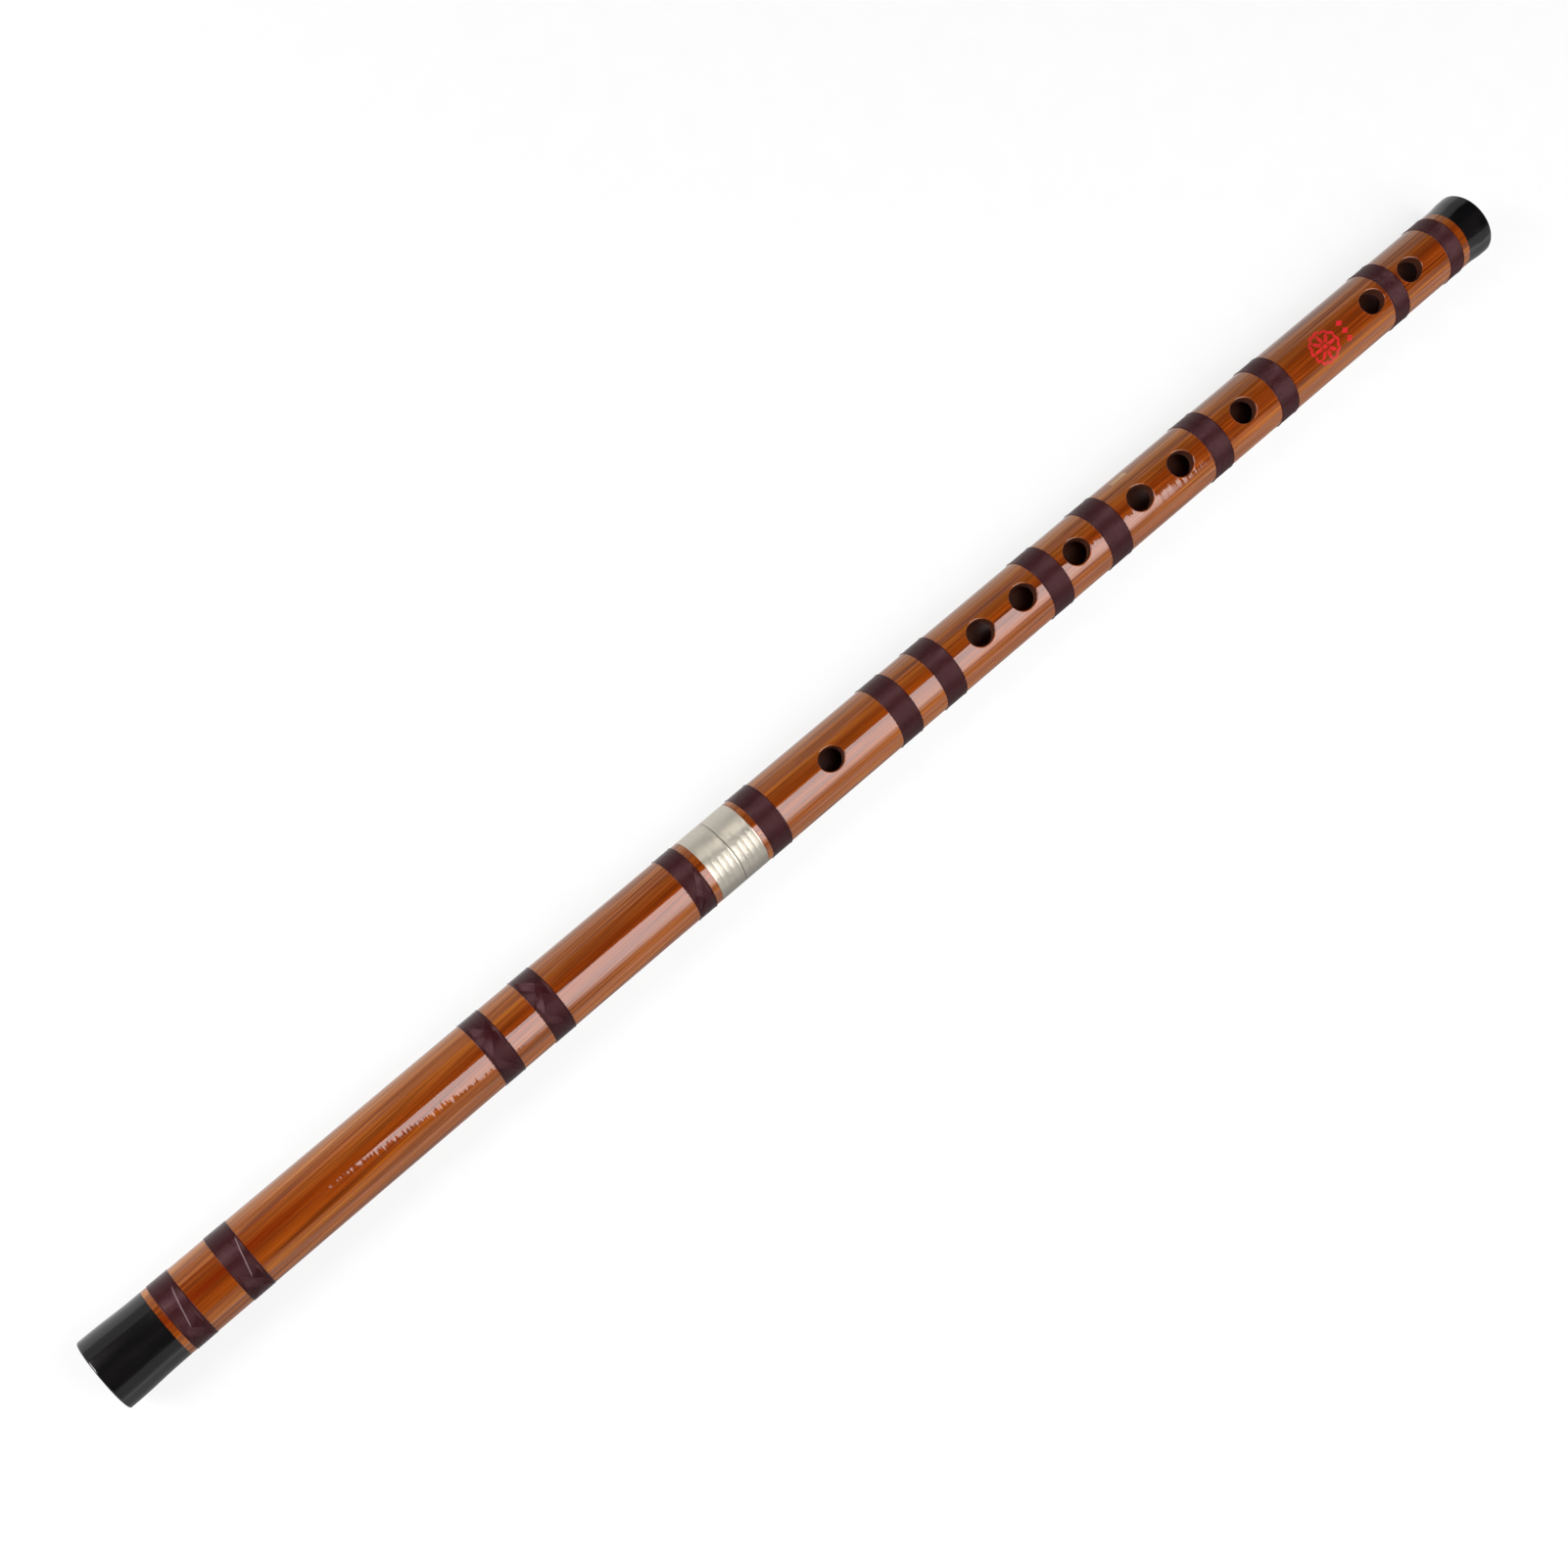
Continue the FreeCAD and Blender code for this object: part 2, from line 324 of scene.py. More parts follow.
# %% [markdown]
# The maker's marks are painted over the stain and under the lacquer: a rosette with three
# diamonds beside it, and two small gold bars. They are drawn by distance and angle from their
# own middles, because such shapes have clean edges at any size. The red is worn a little where
# the fibres are open.

# %% Paint the maker's marks
SEAL_RED = (0.46, 0.014, 0.022)
SEAL_COVER = 0.9                             # how much of the stain the red hides
SEAL_WORN = (0.40, 0.2)                      # where among the fibres it is worn, and how softly
MARK_EDGE = 0.15 * MM
ROSETTE_X, ROSETTE_TURN = 199.45 * MM, math.radians(7.75)
SCALLOPS, SCALLOP_DEPTH = 12, 0.28 * MM
RIM = (4.8 * MM, 5.8 * MM)
PETAL_PAIRS, PETAL_WAIST = 4, 0.05
PETALS = (1.7 * MM, 4.3 * MM)
HUB_R = 0.8 * MM
DIAMOND_X, DIAMOND_PITCH = 209.0 * MM, 3.0 * MM
DIAMOND_R, DIAMOND_SQUEEZE = 1.5 * MM, 1.3
BAR_GOLD = (0.78, 0.55, 0.22)
BARS_X, BARS_TURN = 115.35 * MM, math.radians(-58.25)
BAR_HALF = 3.3 * MM
BAR_SIDES = (0.45 * MM, 0.70 * MM)           # from midway between the two bars


def painted(bench, colour, place, worn):
    """The colour with the maker's painted marks over it: plain shapes, and no letters."""
    u = place.x - ROSETTE_X
    v = (place.turn - ROSETTE_TURN) * TUBE_R
    reach = (u * u + v * v).math("SQRT")
    round_it = v.math("ARCTAN2", u)
    scallop = reach - (round_it * SCALLOPS).math("SINE") * SCALLOP_DEPTH
    petal = reach / ((round_it * PETAL_PAIRS).math("COSINE").math("ABSOLUTE") + PETAL_WAIST)
    red = scallop.between(*RIM, MARK_EDGE)
    red = red.math("MAXIMUM", petal.between(*PETALS, MARK_EDGE))
    red = red.math("MAXIMUM", 1 - reach.step(HUB_R, MARK_EDGE))
    beside = (place.x - DIAMOND_X).math("ABSOLUTE")
    for number in (-1, 0, 1):
        across = (v - number * DIAMOND_PITCH).math("ABSOLUTE")
        diamond = 1 - (beside + across * DIAMOND_SQUEEZE).step(DIAMOND_R, MARK_EDGE)
        red = red.math("MAXIMUM", diamond)
    colour = bench.mix(red * worn.step(*SEAL_WORN) * SEAL_COVER, colour, SEAL_RED)
    along = (place.x - BARS_X).between(-BAR_HALF, BAR_HALF, 0.1 * MM)
    from_middle = ((place.turn - BARS_TURN) * TUBE_R).math("ABSOLUTE")
    bar = from_middle.between(*BAR_SIDES, 0.08 * MM)
    return bench.mix(along * bar * 0.8, colour, BAR_GOLD)


# %% [markdown]
# Bamboo's fibres run dead straight along it, as fine darker lines, and the stain sits deeper in
# some streaks than in others. All of it comes from noise stretched along X. On the head section
# the grain winds slightly round the tube, so the noise is read at a turned point there. The bore
# and the walls of the holes are darker.
# The stain's colour also changes round the tube. It is darker at the top and lighter towards the
# sides, which is painted shade and light over its own orange-brown.

# %% Stain and lacquer the bamboo, with painted shade and light round it
STAIN_AND_SHADE = (                # stain colour by degrees from the top, with painted shade and light: darker on top, lighter at the sides
    (-180, (0.22, 0.062, 0.012)), (-110, (0.22, 0.062, 0.012)), (-70, (0.22, 0.070, 0.016)),
    (-48, (0.20, 0.060, 0.009)), (-33, (0.165, 0.044, 0.007)), (-23, (0.155, 0.039, 0.007)),
    (-13, (0.140, 0.029, 0.004)), (-6, (0.128, 0.021, 0.0015)), (7, (0.142, 0.023, 0.002)),
    (22, (0.168, 0.032, 0.003)), (37, (0.195, 0.049, 0.005)), (62, (0.205, 0.053, 0.006)),
    (110, (0.22, 0.062, 0.012)), (180, (0.22, 0.062, 0.012)))
LINE_BROWN = (0.075, 0.018, 0.004)
VEIN_BROWN = (0.105, 0.016, 0.002)
DEEP_BROWN = (0.100, 0.010, 0.001)
WALL_BROWN = (0.050, 0.015, 0.008)
BORE_BROWN = (0.150, 0.048, 0.028)
WALL_DEPTH = 0.36 * MM   # from here inwards a point is on a hole's wall
BORE_DEPTH = 3.3 * MM    # and from here on the bore's
GRAIN_TWIST = 3.5        # how far the grain winds round the head section, in radians a metre
LACQUER_ROUGH = 0.06
LACQUER_RELIEF = 0.03 * MM
# Noise: its features a metre along X, Y and Z, its detail, its roughness and its shift.
BROAD = (7, 330, 330), 3
STREAK = (13, 900, 900), 3, 0.6, (3, 1, 7)
FIBRE = (40, 3000, 3000), 2, 0.6, (1, 5, 2)
LINE = (26, 1500, 1500), 1, 0.5, (8, 2, 4)
VEIN = (9, 520, 520), 2, 0.5, (2, 9, 4)
WAVE = (45, 260, 260), 2, 0.5, (4, 4, 4)
RIPPLE = (620, 90, 90), 1, 0.5, (6, 1, 3)
DEEP_TURN = (-0.19, 0.05, 0.16)          # a deeper streak near the head end: radians, and its edge
DEEP_REACH, DEEP_FADE = 68 * MM, 60 * MM


def degrees_stops(table):
    """Ramp stops for colours given at degrees round the tube."""
    return [(angle / 360 + 0.5, colour) for angle, colour in table]


def make_bamboo():
    material, bench = new_finish("bamboo_lacquered")
    place = TubePlace(bench)
    # The stain ramp holds painted shade and light: darker on top, lighter towards the sides.
    stain_and_shade = bench.node("ShaderNodeValToRGB", {"stops": degrees_stops(STAIN_AND_SHADE)}, {
        "Fac": place.turn / (2 * math.pi) + 0.5})
    wound = place.turn + place.x * GRAIN_TWIST * (1 - place.x.step(SEAM_X, 0.1 * MM))
    grain = combine(bench, place.x, place.radius * wound.math("SINE"),
                    place.radius * wound.math("COSINE"))
    broad = bench.noise(grain, *BROAD)
    streak = bench.noise(grain, *STREAK)
    fibre = bench.noise(grain, *FIBRE)
    line = bench.noise(grain, *LINE).step(0.57, 0.12)
    vein = bench.noise(grain, *VEIN).step(0.66, 0.12)
    depth = -1.25 + broad * 0.80 + streak * 2.20 + fibre * 1.50
    colour = bench.mix(1.0, stain_and_shade, bench.node("ShaderNodeCombineColor", None, {
        0: depth, 1: depth * (0.45 + broad * 0.55 + streak * 0.55), 2: depth}), "MULTIPLY")
    colour = bench.mix(line * 0.40, colour, LINE_BROWN)
    colour = bench.mix(vein * 0.60, colour, VEIN_BROWN)
    near_head = 1 - place.x.step(HEAD_END + DEEP_REACH, DEEP_FADE)
    deep = place.turn.between(*DEEP_TURN) * near_head
    colour = bench.mix(deep * (streak * 6.0 - 2.4), colour, DEEP_BROWN)
    colour = painted(bench, colour, place, fibre)
    inside = 1 - place.radius.step(TUBE_R - WALL_DEPTH, 0.1 * MM)
    bore = 1 - place.radius.step(TUBE_R - BORE_DEPTH, 0.1 * MM)
    colour = bench.mix(inside, colour, WALL_BROWN)
    colour = bench.mix(bore, colour, BORE_BROWN)
    wave = bench.noise(place.point, *WAVE)
    ripple = bench.noise(place.point, *RIPPLE)
    relief = wave * 0.75 + ripple * 1.1 + streak * 0.16 + fibre * 0.07
    normal = bench.node("ShaderNodeBump", None, {
        "Strength": 1.0, "Distance": LACQUER_RELIEF, "Height": relief})
    close_finish(bench, bench.node("ShaderNodeBsdfPrincipled", None, {
        "Base Color": colour, "Roughness": LACQUER_ROUGH + inside * 0.35, "Normal": normal}))
    return material


bamboo = make_bamboo()
print("bamboo:", len(bamboo.node_tree.nodes), "nodes")

# %% [markdown]
# ## The horn caps, the metal joint and the cork
# Both ends wear a ring of black buffalo horn, polished until it mirrors the room. The joint's
# ferrules are nickel silver, brushed round and round in the lathe, so their bump is noise that
# changes fast along X and slowly round it. It makes only the finest marks, and the deeper
# grooves are cut further on. The hidden tenon and its liner are brass tube, drawn lengthwise,
# and the stopper is cork.

# %% Make the horn, the metals and the cork
HORN_BLACK = (0.0022, 0.0021, 0.0025)
HORN_BROWN = (0.0075, 0.0058, 0.0058)
SILVER = (0.50, 0.46, 0.40), (0.60, 0.56, 0.49)      # darkest and lightest
BRASS = (0.62, 0.42, 0.15), (0.85, 0.62, 0.28)
BRUSHED_ROUND = (5000, 60, 60)                       # features a metre along X, Y and Z
DRAWN_ALONG = (60, 5200, 5200)
CORK_LIGHT = (0.52, 0.30, 0.13)
CORK_DARK = (0.36, 0.19, 0.08)
CORK_PIT = (0.12, 0.05, 0.02)


def make_horn():
    material, bench = new_finish("horn_polished")
    place = TubePlace(bench)
    streak = bench.noise(place.point, (25, 380, 380), 3, 0.6)
    cloud = bench.noise(place.point, (160, 160, 160), 2, 0.5, (2, 6, 1))
    colour = bench.mix(streak.step(0.55, 0.3) * cloud, HORN_BLACK, HORN_BROWN)
    scratch = bench.noise(place.point, (4200, 120, 120), 2, 0.5, (5, 2, 9))
    normal = bench.node("ShaderNodeBump", None, {
        "Strength": 1.0, "Distance": 0.004 * MM, "Height": cloud * 3 + scratch * 0.3})
    close_finish(bench, bench.node("ShaderNodeBsdfPrincipled", None, {
        "Base Color": colour, "Roughness": 0.10 + scratch * 0.08, "Normal": normal}))
    return material


def make_metal(name, dark, light, roughness, brushing, depth):
    """A metal whose fine grooves run where brushing changes slowly."""
    material, bench = new_finish(name)
    place = TubePlace(bench)
    groove = bench.noise(place.point, brushing, 2, 0.6)
    cloud = bench.noise(place.point, (210, 210, 210), 3, 0.6, (7, 3, 1))
    colour = bench.mix(groove * 0.7 + cloud * 0.3, dark, light)
    normal = bench.node("ShaderNodeBump", None, {
        "Strength": 1.0, "Distance": depth, "Height": groove})
    close_finish(bench, bench.node("ShaderNodeBsdfPrincipled", None, {
        "Base Color": colour, "Metallic": 1.0, "Normal": normal,
        "Roughness": roughness - 0.05 + cloud * 0.10}))
    return material


def make_cork():
    material, bench = new_finish("cork_natural")
    place = TubePlace(bench)
    cells = bench.node("ShaderNodeTexVoronoi", {"feature": "F1"}, {
        "Vector": place.point, "Scale": 900.0})
    pit = bench.noise(place.point, (420, 420, 420), 4, 0.65, (3, 3, 3))
    colour = bench.mix(cells, CORK_LIGHT, CORK_DARK)
    colour = bench.mix(pit.step(0.6, 0.1), colour, CORK_PIT)
    normal = bench.node("ShaderNodeBump", None, {
        "Strength": 1.0, "Distance": 0.08 * MM, "Height": cells * 0.5 - pit.step(0.6, 0.1)})
    close_finish(bench, bench.node("ShaderNodeBsdfPrincipled", None, {
        "Base Color": colour, "Roughness": 0.8, "Normal": normal}))
    return material


horn = make_horn()
ferrule_metal = make_metal("nickel_silver_brushed", *SILVER, 0.34, BRUSHED_ROUND, 0.004 * MM)
brass = make_metal("brass_drawn", *BRASS, 0.24, DRAWN_ALONG, 0.003 * MM)
cork = make_cork()

FINISH_OF = {"head_tube": bamboo, "body_tube": bamboo, "head_cap": horn, "foot_cap": horn,
             "tenon_tube": brass, "socket_liner": brass, "cork_stopper": cork}
for node_name, material in FINISH_OF.items():
    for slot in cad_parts[node_name].material_slots:
        slot.material = material
print("finished", len(FINISH_OF), "nodes that keep their shape")

# %% [markdown]
# ## The ferrules
# A ferrule is a ring turned in a lathe, and it is made the same way here: an outline is copied
# round the axis, and its copies are joined with faces. The sleeves under the threads are rings
# too, so the lathe is written once for both. Pieces that are made of several meshes are joined
# into one.


# %% Turn a ring, and join meshes into a piece
def turned_mesh(name, outline, around=128, sharp=40):
    """A ring turned from a closed outline of (x, radius) points, its faces outwards."""
    count = len(outline)
    points, faces = [], []
    for step in range(around):
        angle = 2 * math.pi * step / around
        points += [(x, -radius * math.sin(angle), AXIS_Z + radius * math.cos(angle))
                   for x, radius in outline]
    for step in range(around):
        here, following = step * count, (step + 1) % around * count
        faces += [(here + k, here + (k + 1) % count, following + (k + 1) % count, following + k)
                  for k in range(count)]
    mesh = bpy.data.meshes.new(name)
    mesh.from_pydata(points, [], faces)
    shape = bmesh.new()
    shape.from_mesh(mesh)
    bmesh.ops.recalc_face_normals(shape, faces=shape.faces)
    shape.to_mesh(mesh)
    shape.free()
    mesh.shade_smooth()
    mesh.set_sharp_from_angle(angle=math.radians(sharp))
    return mesh


def joined(name, meshes, finish):
    """One piece made of several meshes, which share their finish."""
    shape = bmesh.new()
    for mesh in meshes:
        shape.from_mesh(mesh)
    whole = bpy.data.meshes.new(name)
    shape.to_mesh(whole)
    shape.free()
    whole.materials.append(finish)
    piece = bpy.data.objects.new(name, whole)
    scene.collection.objects.link(piece)
    return piece


# %% [markdown]
# The two nickel silver rings are brushed round and round in the lathe, which leaves them satin.
# The fine grooves spread the light along the flute but not across it, so they are cut here as
# real grooves. Their slopes step through a range by a fixed share, which keeps the shine even.
# Roughness alone would blur the light both ways.

# %% Turn the two brushed ferrules
FERRULE_IN_R = 10.25 * MM
FERRULE_ROUND = 0.12 * MM
GROOVE_DEPTH = 0.011 * MM
DOWN_SLOPE = (8, 42)         # degrees, on a groove's side towards the head end
UP_SLOPE = (38, 54)          # and on its side towards the foot end
GROOVE_WIDEST = 0.12 * MM
SPREAD = (0.754878, 0.569840)    # steps that spread the slopes evenly over any few grooves
SKIN_IN = 0.005 * MM         # how far the ring stays inside its node's outside


def brushed_outline(first, last, offset):
    """A ring's outline, its outer face cut with fine grooves."""
    skin = TUBE_R - SKIN_IN
    outline = [(last, FERRULE_IN_R), (first, FERRULE_IN_R), (first, skin - FERRULE_ROUND)]
    x, count = first + FERRULE_ROUND, offset
    while x < last - FERRULE_ROUND - GROOVE_WIDEST:
        down, up = (low + (high - low) * (count * step % 1)
                    for (low, high), step in zip((DOWN_SLOPE, UP_SLOPE), SPREAD))
        outline.append((x, skin))
        x += GROOVE_DEPTH / math.tan(math.radians(down))
        outline.append((x, skin - GROOVE_DEPTH))
        x += GROOVE_DEPTH / math.tan(math.radians(up))
        count += 1
    return outline + [(x, skin), (last - FERRULE_ROUND, skin), (last, skin - FERRULE_ROUND)]


def brush(number, node_name, body):
    """One ferrule, brushed from its own place in the steps."""
    first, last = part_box(node_name)[0].x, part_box(node_name)[1].x
    ring = turned_mesh("ring", brushed_outline(first, last, 40 * number), 96, 5)
    piece = joined(node_name.replace("ferrule", "brushed_ferrule"), [ring], ferrule_metal)
    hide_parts(node_name)
    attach(piece, body)
    return piece


brushed = [brush(0, "head_ferrule", "head_section"), brush(1, "body_ferrule", "body_section")]
print("brushed", len(brushed), "ferrules,", sum(len(p.data.polygons) for p in brushed), "faces")

# %% [markdown]
# ## The thread bindings
# Fourteen bindings of plum-coloured thread keep the bamboo from splitting. Each is one long
# thread wound in a tight helix, so a Geometry Nodes tree winds it: it bends a line into a helix
# that climbs onto the sleeve of older turns, lies flat across it and steps down at the other
# edge, and sweeps a thread's round section along it. A texture of stripes would be quicker, but
# it would have no thread to catch the light.

# %% Start a Geometry Nodes tree with named inputs
THREAD_R = 0.16 * MM
CROSS_R = 0.16 * MM
SLEEVE_IN_R = 10.5 * MM      # bottom of the groove in the bamboo
BINDING_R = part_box("body_binding_1")[1].y
LAYER_R = BINDING_R - 2 * CROSS_R - THREAD_R * 0.9


def new_tree(name, inputs):
    """A new tree, its bench and its named inputs as signals."""
    tree = bpy.data.node_groups.new(name, "GeometryNodeTree")
    tree.interface.new_socket("Geometry", in_out="OUTPUT", socket_type="NodeSocketGeometry")
    for label, (kind, default) in inputs.items():
        socket = tree.interface.new_socket(label, in_out="INPUT", socket_type="NodeSocket" + kind)
        if default is not None:
            socket.default_value = default
    bench = Bench(tree)
    first = bench.node("NodeGroupInput")
    return tree, bench, {label: first.out(label) for label in inputs}


def close_tree(bench, geometry, material):
    """Ends a tree: plain mesh only, with its finish set."""
    real = bench.node("GeometryNodeRealizeInstances", None, {"Geometry": geometry})
    bench.node("NodeGroupOutput", None, {0: bench.node("GeometryNodeSetMaterial", None, {
        "Geometry": real, "Material": material})})


def sweep(bench, curve, radius, sides):
    """A round thread along a curve, closed at its ends."""
    section = bench.node("GeometryNodeCurvePrimitiveCircle", None, {
        "Resolution": sides, "Radius": radius})
    thread = bench.node("GeometryNodeCurveToMesh", None, {
        "Curve": curve, "Profile Curve": section, "Fill Caps": True})
    return bench.node("GeometryNodeSetShadeSmooth", None, {
        "Geometry": thread, "Shade Smooth": True})


def on_tube(bench, x, angle, radius):
    """The point at an angle from the top, towards -Y, and a radius from the flute's axis."""
    return combine(bench, x, angle.math("SINE") * radius * -1,
                   angle.math("COSINE") * radius + AXIS_Z)


def waver_at(bench, spot):
    """Smooth noise around 0, for threads that don't lie quite true."""
    noise = bench.node("ShaderNodeTexNoise", None, {"Vector": spot, "Scale": 1.0, "Detail": 1.0})
    return noise - 0.5


print("top layer of thread", round(LAYER_R / MM, 3), "mm from the axis")

# %% [markdown]
# The winding starts as a straight line with enough points for every turn. How far along the line
# a point is gives its angle and its place along the tube, so setting the positions bends the
# line into a helix. A little noise, read on a ring so that it has no seam, makes neighbouring
# turns waver alike, as real ones do.

# %% Wind one binding
STEPS_PER_TURN = 64
THREAD_SIDES = 6
EDGE_DROP = 0.2 * MM         # how far a binding's first and last turns lie below the others
WAVER = 0.11 * MM
WAVER_RING, WAVER_ALONG = 2, 5500        # radius of the noise's ring, and its features a metre


def winding_tree():
    tree, bench, given = new_tree("winding", {
        "First edge": ("Float", 0.0), "Last edge": ("Float", 0.007), "Turns": ("Float", 30.0),
        "Layer radius": ("Float", LAYER_R), "Edge drop": ("Float", EDGE_DROP),
        "Thread radius": ("Float", THREAD_R), "Waver": ("Float", WAVER),
        "Seed": ("Float", 0.0), "Finish": ("Material", None)})
    along = bench.node("GeometryNodeSplineParameter")
    thread = given["Thread radius"]
    drop = given["Edge drop"]
    width = given["Last edge"] - given["First edge"] - 2 * thread
    path = along * (width + drop * 2)
    x = given["First edge"] + thread + (path - drop).math("MAXIMUM", 0.0).math("MINIMUM", width)
    climb = path.math("MINIMUM", width + drop * 2 - path).math("MINIMUM", drop)
    angle = along * given["Turns"] * (2 * math.pi)
    spot = combine(bench, angle.math("COSINE") * WAVER_RING, angle.math("SINE") * WAVER_RING,
                   path * WAVER_ALONG + given["Seed"])
    waver = waver_at(bench, spot)
    inner = climb / drop
    radius = given["Layer radius"] - drop + climb + waver * given["Waver"] * 0.5
    line = bench.node("GeometryNodeResampleCurve", None, {
        "Curve": bench.node("GeometryNodeCurvePrimitiveLine"),
        "Count": given["Turns"] * STEPS_PER_TURN})
    helix = bench.node("GeometryNodeSetPosition", None, {
        "Geometry": line,
        "Position": on_tube(bench, x + waver * given["Waver"] * inner, angle, radius)})
    close_tree(bench, sweep(bench, helix, thread, THREAD_SIDES), given["Finish"])
    return tree


def grown(name, tree, sizes):
    """The plain mesh that a tree makes with these sizes."""
    holder = bpy.data.objects.new(name, bpy.data.meshes.new(name))
    scene.collection.objects.link(holder)
    modifier = holder.modifiers.new("growing", "NODES")
    modifier.node_group = tree
    for socket in tree.interface.items_tree:
        if socket.name in sizes:
            modifier[socket.identifier] = sizes[socket.name]
    whole = holder.evaluated_get(bpy.context.evaluated_depsgraph_get())
    mesh = bpy.data.meshes.new_from_object(whole)
    holder.modifiers.remove(modifier)
    bpy.data.objects.remove(holder)
    return mesh


winding = winding_tree()
print("winding tree:", len(winding.nodes), "nodes")

# %% [markdown]
# Where a binding was tied off, its last threads cross over the others at a slant. These strands
# are a second tree: a line is copied once for each strand, and every copy runs from one edge of
# the binding to the other between two angles, lifted onto the layer below in the middle and
# tucked in at both ends.

# %% Lay crossing strands
STRAND_GAP = 0.36 * MM
STRAND_LIFT = 0.2 * MM
STRAND_POINTS, STRAND_SIDES = 28, 5
STRAND_WAVER = 0.25 * MM
FAN = 1.3                    # how much further apart the strands are round the tube
FLATNESS = 0.22              # the lower, the sooner a strand is up on the layer below


def crossing_tree():
    tree, bench, given = new_tree("crossing", {
        "From edge": ("Float", 0.0), "To edge": ("Float", 0.007), "From angle": ("Float", 0.0),
        "To angle": ("Float", 0.7), "Strands": ("Int", 9), "Spacing": ("Float", STRAND_GAP),
        "Layer radius": ("Float", LAYER_R), "Lift": ("Float", STRAND_LIFT),
        "Thread radius": ("Float", CROSS_R), "Seed": ("Float", 0.0), "Finish": ("Material", None)})
    line = bench.node("GeometryNodeResampleCurve", None, {
        "Curve": bench.node("GeometryNodeCurvePrimitiveLine"), "Count": STRAND_POINTS})
    copied = bench.node("GeometryNodeDuplicateElements", {"domain": "SPLINE"}, {
        "Geometry": line, "Amount": given["Strands"]})
    strand = copied.out("Duplicate Index")
    kept = bench.node("GeometryNodeCaptureAttribute", {"domain": "POINT"}, {"Geometry": copied})
    kept.socket.node.capture_items.new("FLOAT", "strand")
    bench.tree.links.new(strand.socket, kept.socket.node.inputs[1])
    strand = Signal(bench, kept.socket.node.outputs[1])
    along = bench.node("GeometryNodeSplineParameter")
    spot = combine(bench, along * 3, strand * 0.9 + given["Seed"], 0.5)
    waver = waver_at(bench, spot)
    offset = (strand - (given["Strands"] - 1) * 0.5) * given["Spacing"]
    x = given["From edge"] + (given["To edge"] - given["From edge"]) * along
    turned = given["From angle"] + (given["To angle"] - given["From angle"]) * along
    angle = turned + (offset * FAN + waver * STRAND_WAVER) / given["Layer radius"]
    hump = (along * (1 - along) * 4).math("POWER", FLATNESS)
    radius = given["Layer radius"] - given["Lift"] * 0.6 + given["Lift"] * 1.6 * hump
    placed = bench.node("GeometryNodeSetPosition", None, {
        "Geometry": kept, "Position": on_tube(bench, x, angle, radius)})
    threads = sweep(bench, placed, given["Thread radius"], STRAND_SIDES)
    close_tree(bench, threads, given["Finish"])
    return tree


crossing = crossing_tree()
print("crossing tree:", len(crossing.nodes), "nodes")

# %% [markdown]
# Under the top layer the older turns fill the groove in the bamboo. They don't show, so they are
# one smooth sleeve, turned from its outline. It also closes the gaps between the threads on top.
# At its edges the outline runs out in a hollow fillet, as the lacquer does where it meets the
# bamboo.

# %% Draw the sleeve under the threads
SLEEVE_ROUND = 0.15 * MM
FILLET = 0.26 * MM
FILLET_STEPS = 5


def sleeve_outline(first, last):
    """The sleeve, with a hollow fillet of lacquer where it meets the bamboo."""
    top, skin = LAYER_R, TUBE_R - 0.02 * MM
    quarter = [math.pi / 2 * k / FILLET_STEPS for k in range(FILLET_STEPS + 1)]
    bends = [(1 - math.cos(bend), math.sin(bend)) for bend in quarter]
    left = [(first - FILLET * (1 - b), skin + FILLET * a) for a, b in bends]
    right = [(last + FILLET * (1 - b), skin + FILLET * a) for a, b in reversed(bends)]
    over = [(first, top - SLEEVE_ROUND), (first + SLEEVE_ROUND, top),
            (last - SLEEVE_ROUND, top), (last, top - SLEEVE_ROUND)]
    return ([(last, SLEEVE_IN_R), (first, SLEEVE_IN_R), (first, skin - 0.01 * MM)]
            + left + over + right + [(last, skin - 0.01 * MM)])


print("sleeve", round(SLEEVE_IN_R / MM, 2), "to", round(LAYER_R / MM, 3), "mm from the axis")

# %% [markdown]
# The thread is twisted silk under a coat of lacquer. The lacquer gives it a gloss, and the twist
# shows as fine slanting lines, read from the point's place on the tube. Single turns differ a
# little in colour, because the dye took unevenly along the thread. One strand on each of the
# first two bindings has a painted highlight, a paler colour along the line that the strand takes.

# %% Finish the thread
TIED_UP = {              # strands: from and to, in shares of the width and degrees, and how many
    "head_binding_1": ((0.81, 0.39, -36, 31, 1), (0.08, 0.92, 26, 62, 9), (0.92, 0.08, 24, 66, 8)),
    "head_binding_2": ((0.945, 0.51, -31, 33, 1), (0.08, 0.92, 26, 62, 9),
                       (0.92, 0.08, 30, 68, 8)),
    "head_binding_3": ((0.08, 0.92, -40, -2, 8), (0.92, 0.08, -34, 10, 8), (0.08, 0.9, 22, 66, 8)),
    "head_binding_4": ((0.08, 0.92, -48, -8, 9), (0.92, 0.08, -38, 12, 8), (0.08, 0.9, 18, 62, 8)),
    "head_binding_5": ((0.92, 0.08, -2, 48, 7), (0.08, 0.92, 8, 54, 7), (0.92, 0.08, 30, 70, 6)),
}
TIED_DOWN = ((0.08, 0.92, 150, 192, 8), (0.92, 0.08, 160, 204, 8))
HIGHLIGHT_BINDINGS = ("head_binding_1", "head_binding_2")      # their first strand gets a painted highlight
# Half the width and the colour of that painted highlight.
HIGHLIGHT_HALF = 0.20 * MM
HIGHLIGHT_PLUM = (0.19, 0.13, 0.14)
THREAD_DARK = (0.010, 0.0014, 0.0018)
THREAD_LIGHT = (0.040, 0.0074, 0.0088)
THREAD_SHINE = (1.0, 0.62, 0.66, 1.0)
TWISTS_ROUND, TWISTS_ALONG = 700, 9000   # radians of twist, a radian round and a metre along
TWIST_RELIEF = 0.004 * MM


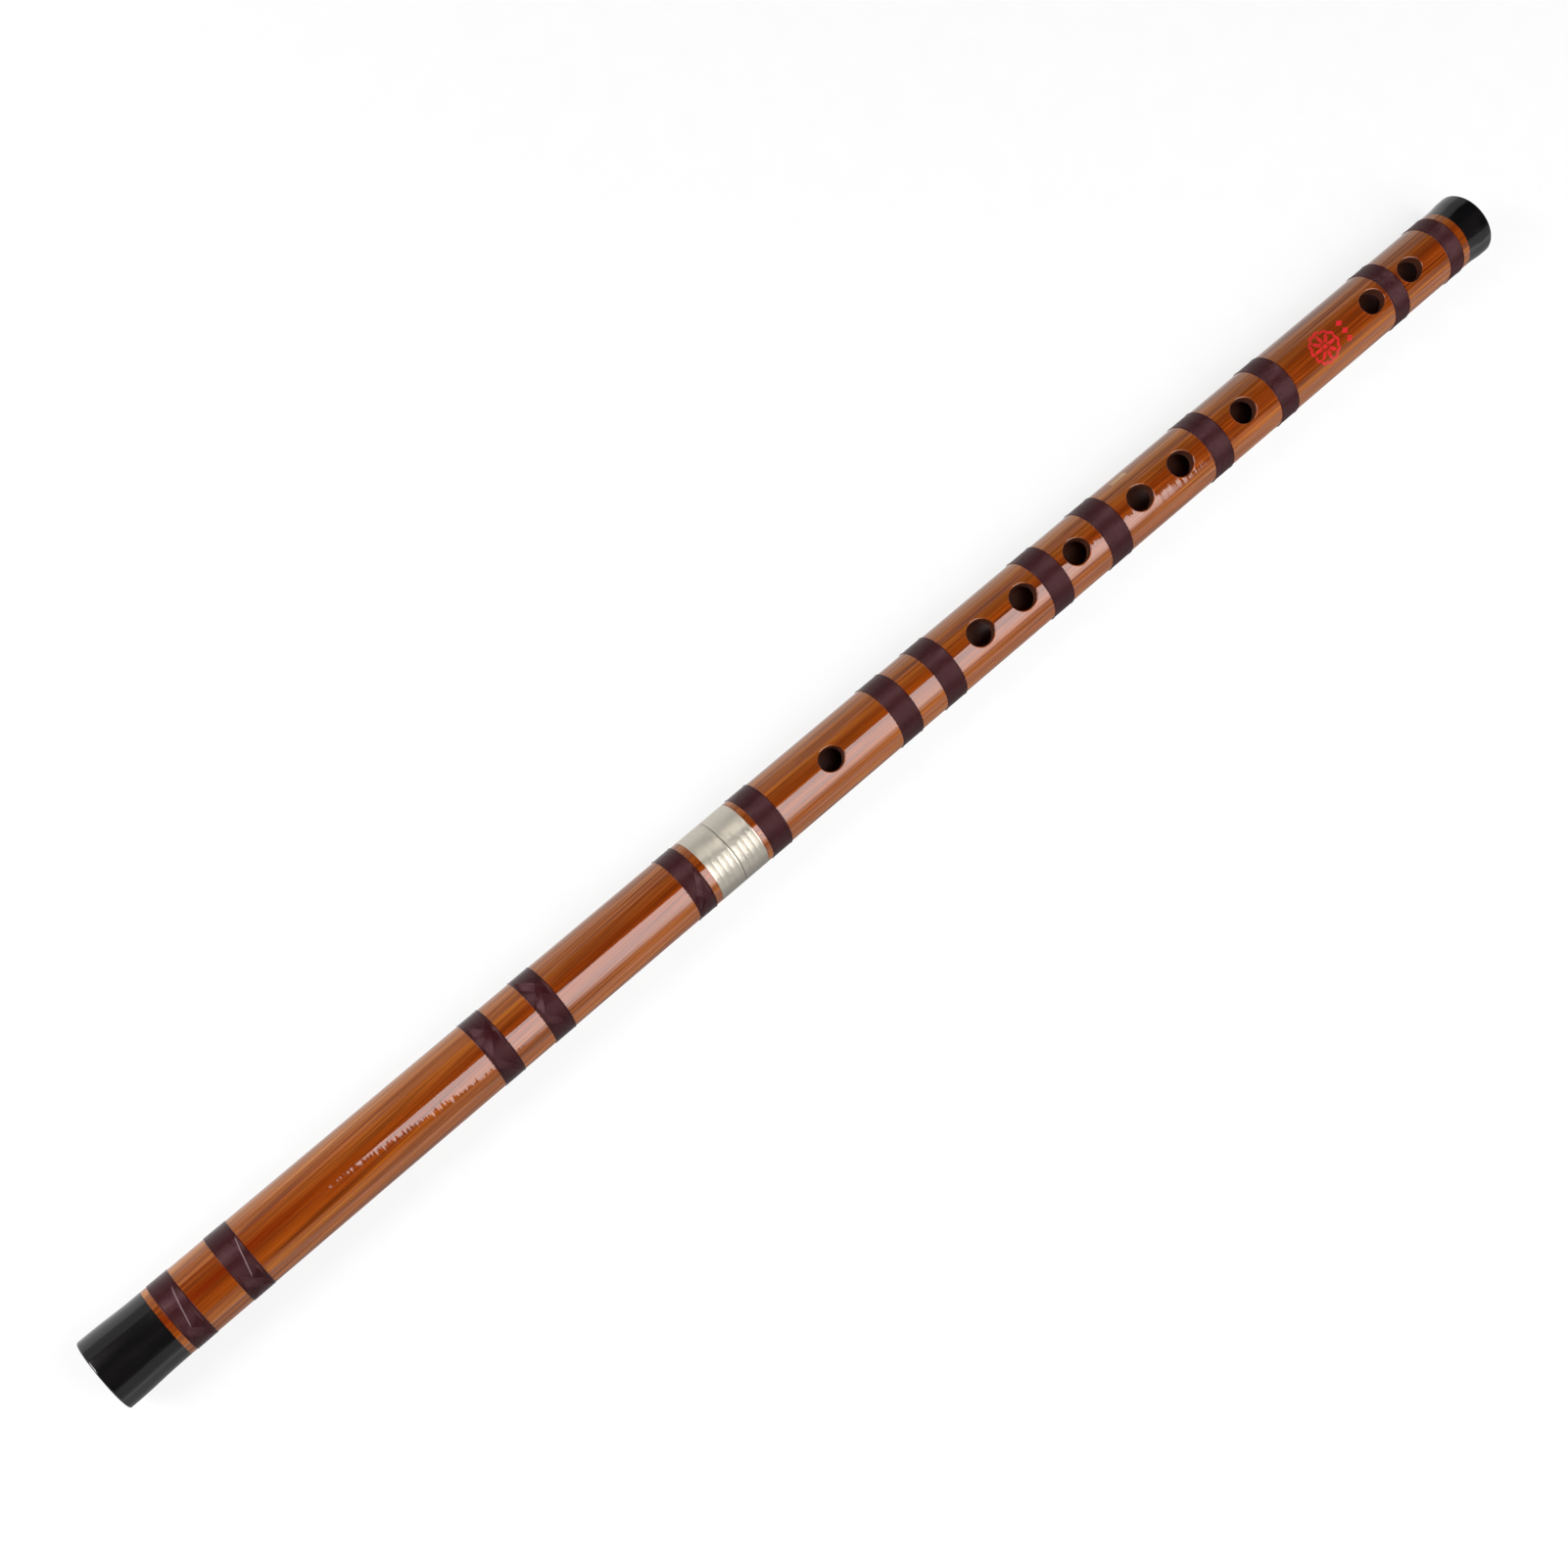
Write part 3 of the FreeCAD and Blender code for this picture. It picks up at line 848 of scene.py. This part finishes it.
def make_thread():
    material, bench = new_finish("thread_plum")
    place = TubePlace(bench)
    turn = bench.noise(place.point, (3800, 30, 30), 1, 0.5)
    cloud = bench.noise(place.point, (300, 120, 120), 2, 0.6, (2, 2, 5))
    twist = (place.turn * TWISTS_ROUND + place.x * TWISTS_ALONG).math("SINE") * 0.5 + 0.5
    colour = bench.mix(turn * 0.6 + cloud * 0.4, THREAD_DARK, THREAD_LIGHT)
    # A painted highlight: a paler stripe along the first strand of the first two bindings.
    painted_highlight = 0
    for node_name in HIGHLIGHT_BINDINGS:
        low_x, high_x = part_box(node_name)[0].x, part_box(node_name)[1].x
        start, end, from_turn, to_turn, _ = TIED_UP[node_name][0]
        share = (place.turn - math.radians(from_turn)) / math.radians(to_turn - from_turn)
        middle = low_x + (high_x - low_x) * (start + (end - start) * share)
        beside = (place.x - middle).math("ABSOLUTE")
        painted_highlight = painted_highlight + (1 - beside.step(HIGHLIGHT_HALF, 0.1 * MM)) * share.between(0.05, 0.95, 0.1)
    colour = bench.mix(painted_highlight * 0.65, colour, HIGHLIGHT_PLUM)
    normal = bench.node("ShaderNodeBump", None, {
        "Strength": 1.0, "Distance": TWIST_RELIEF, "Height": twist})
    close_finish(bench, bench.node("ShaderNodeBsdfPrincipled", None, {
        "Base Color": colour, "Roughness": 0.09 + twist * 0.03, "Normal": normal,
        "Specular IOR Level": 0.30, "Specular Tint": THREAD_SHINE}))
    return material


thread_finish = make_thread()
print("thread:", len(thread_finish.node_tree.nodes), "nodes")

# %% [markdown]
# Now every binding is wound where its node is. The five on the head section were tied off on the
# side that faces up, and the nine on the body section on the side that faces the table.

# %% Wind the fourteen bindings
PITCH = 0.30 * MM
EDGE_TURNS = 2.0             # turns that climb up and step down at the two edges


def wind(number, node_name, body):
    """One binding: its sleeve, its turns and its crossing strands."""
    first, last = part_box(node_name)[0].x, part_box(node_name)[1].x
    width = last - first
    meshes = [turned_mesh("sleeve", sleeve_outline(first + THREAD_R, last - THREAD_R))]
    meshes.append(grown("turns", winding, {
        "First edge": first, "Last edge": last, "Turns": round(width / PITCH) + EDGE_TURNS,
        "Seed": 17.0 * number, "Finish": thread_finish}))
    tied = TIED_UP.get(node_name, TIED_DOWN)
    for group, (start, end, from_turn, to_turn, strands) in enumerate(tied):
        meshes.append(grown("strands", crossing, {
            "From edge": first + start * width, "To edge": first + end * width,
            "From angle": math.radians(from_turn), "To angle": math.radians(to_turn),
            "Strands": strands, "Seed": 31.0 * number + group, "Finish": thread_finish}))
    piece = joined(node_name.replace("binding", "winding"), meshes, thread_finish)
    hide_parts(node_name)
    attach(piece, body)
    return piece


BINDINGS = ([(f"head_binding_{k}", "head_section") for k in range(1, 6)]
            + [(f"body_binding_{k}", "body_section") for k in range(1, 10)])
wound = [wind(number, name, body) for number, (name, body) in enumerate(BINDINGS)]
print("wound", len(wound), "bindings,", sum(len(p.data.polygons) for p in wound), "faces")
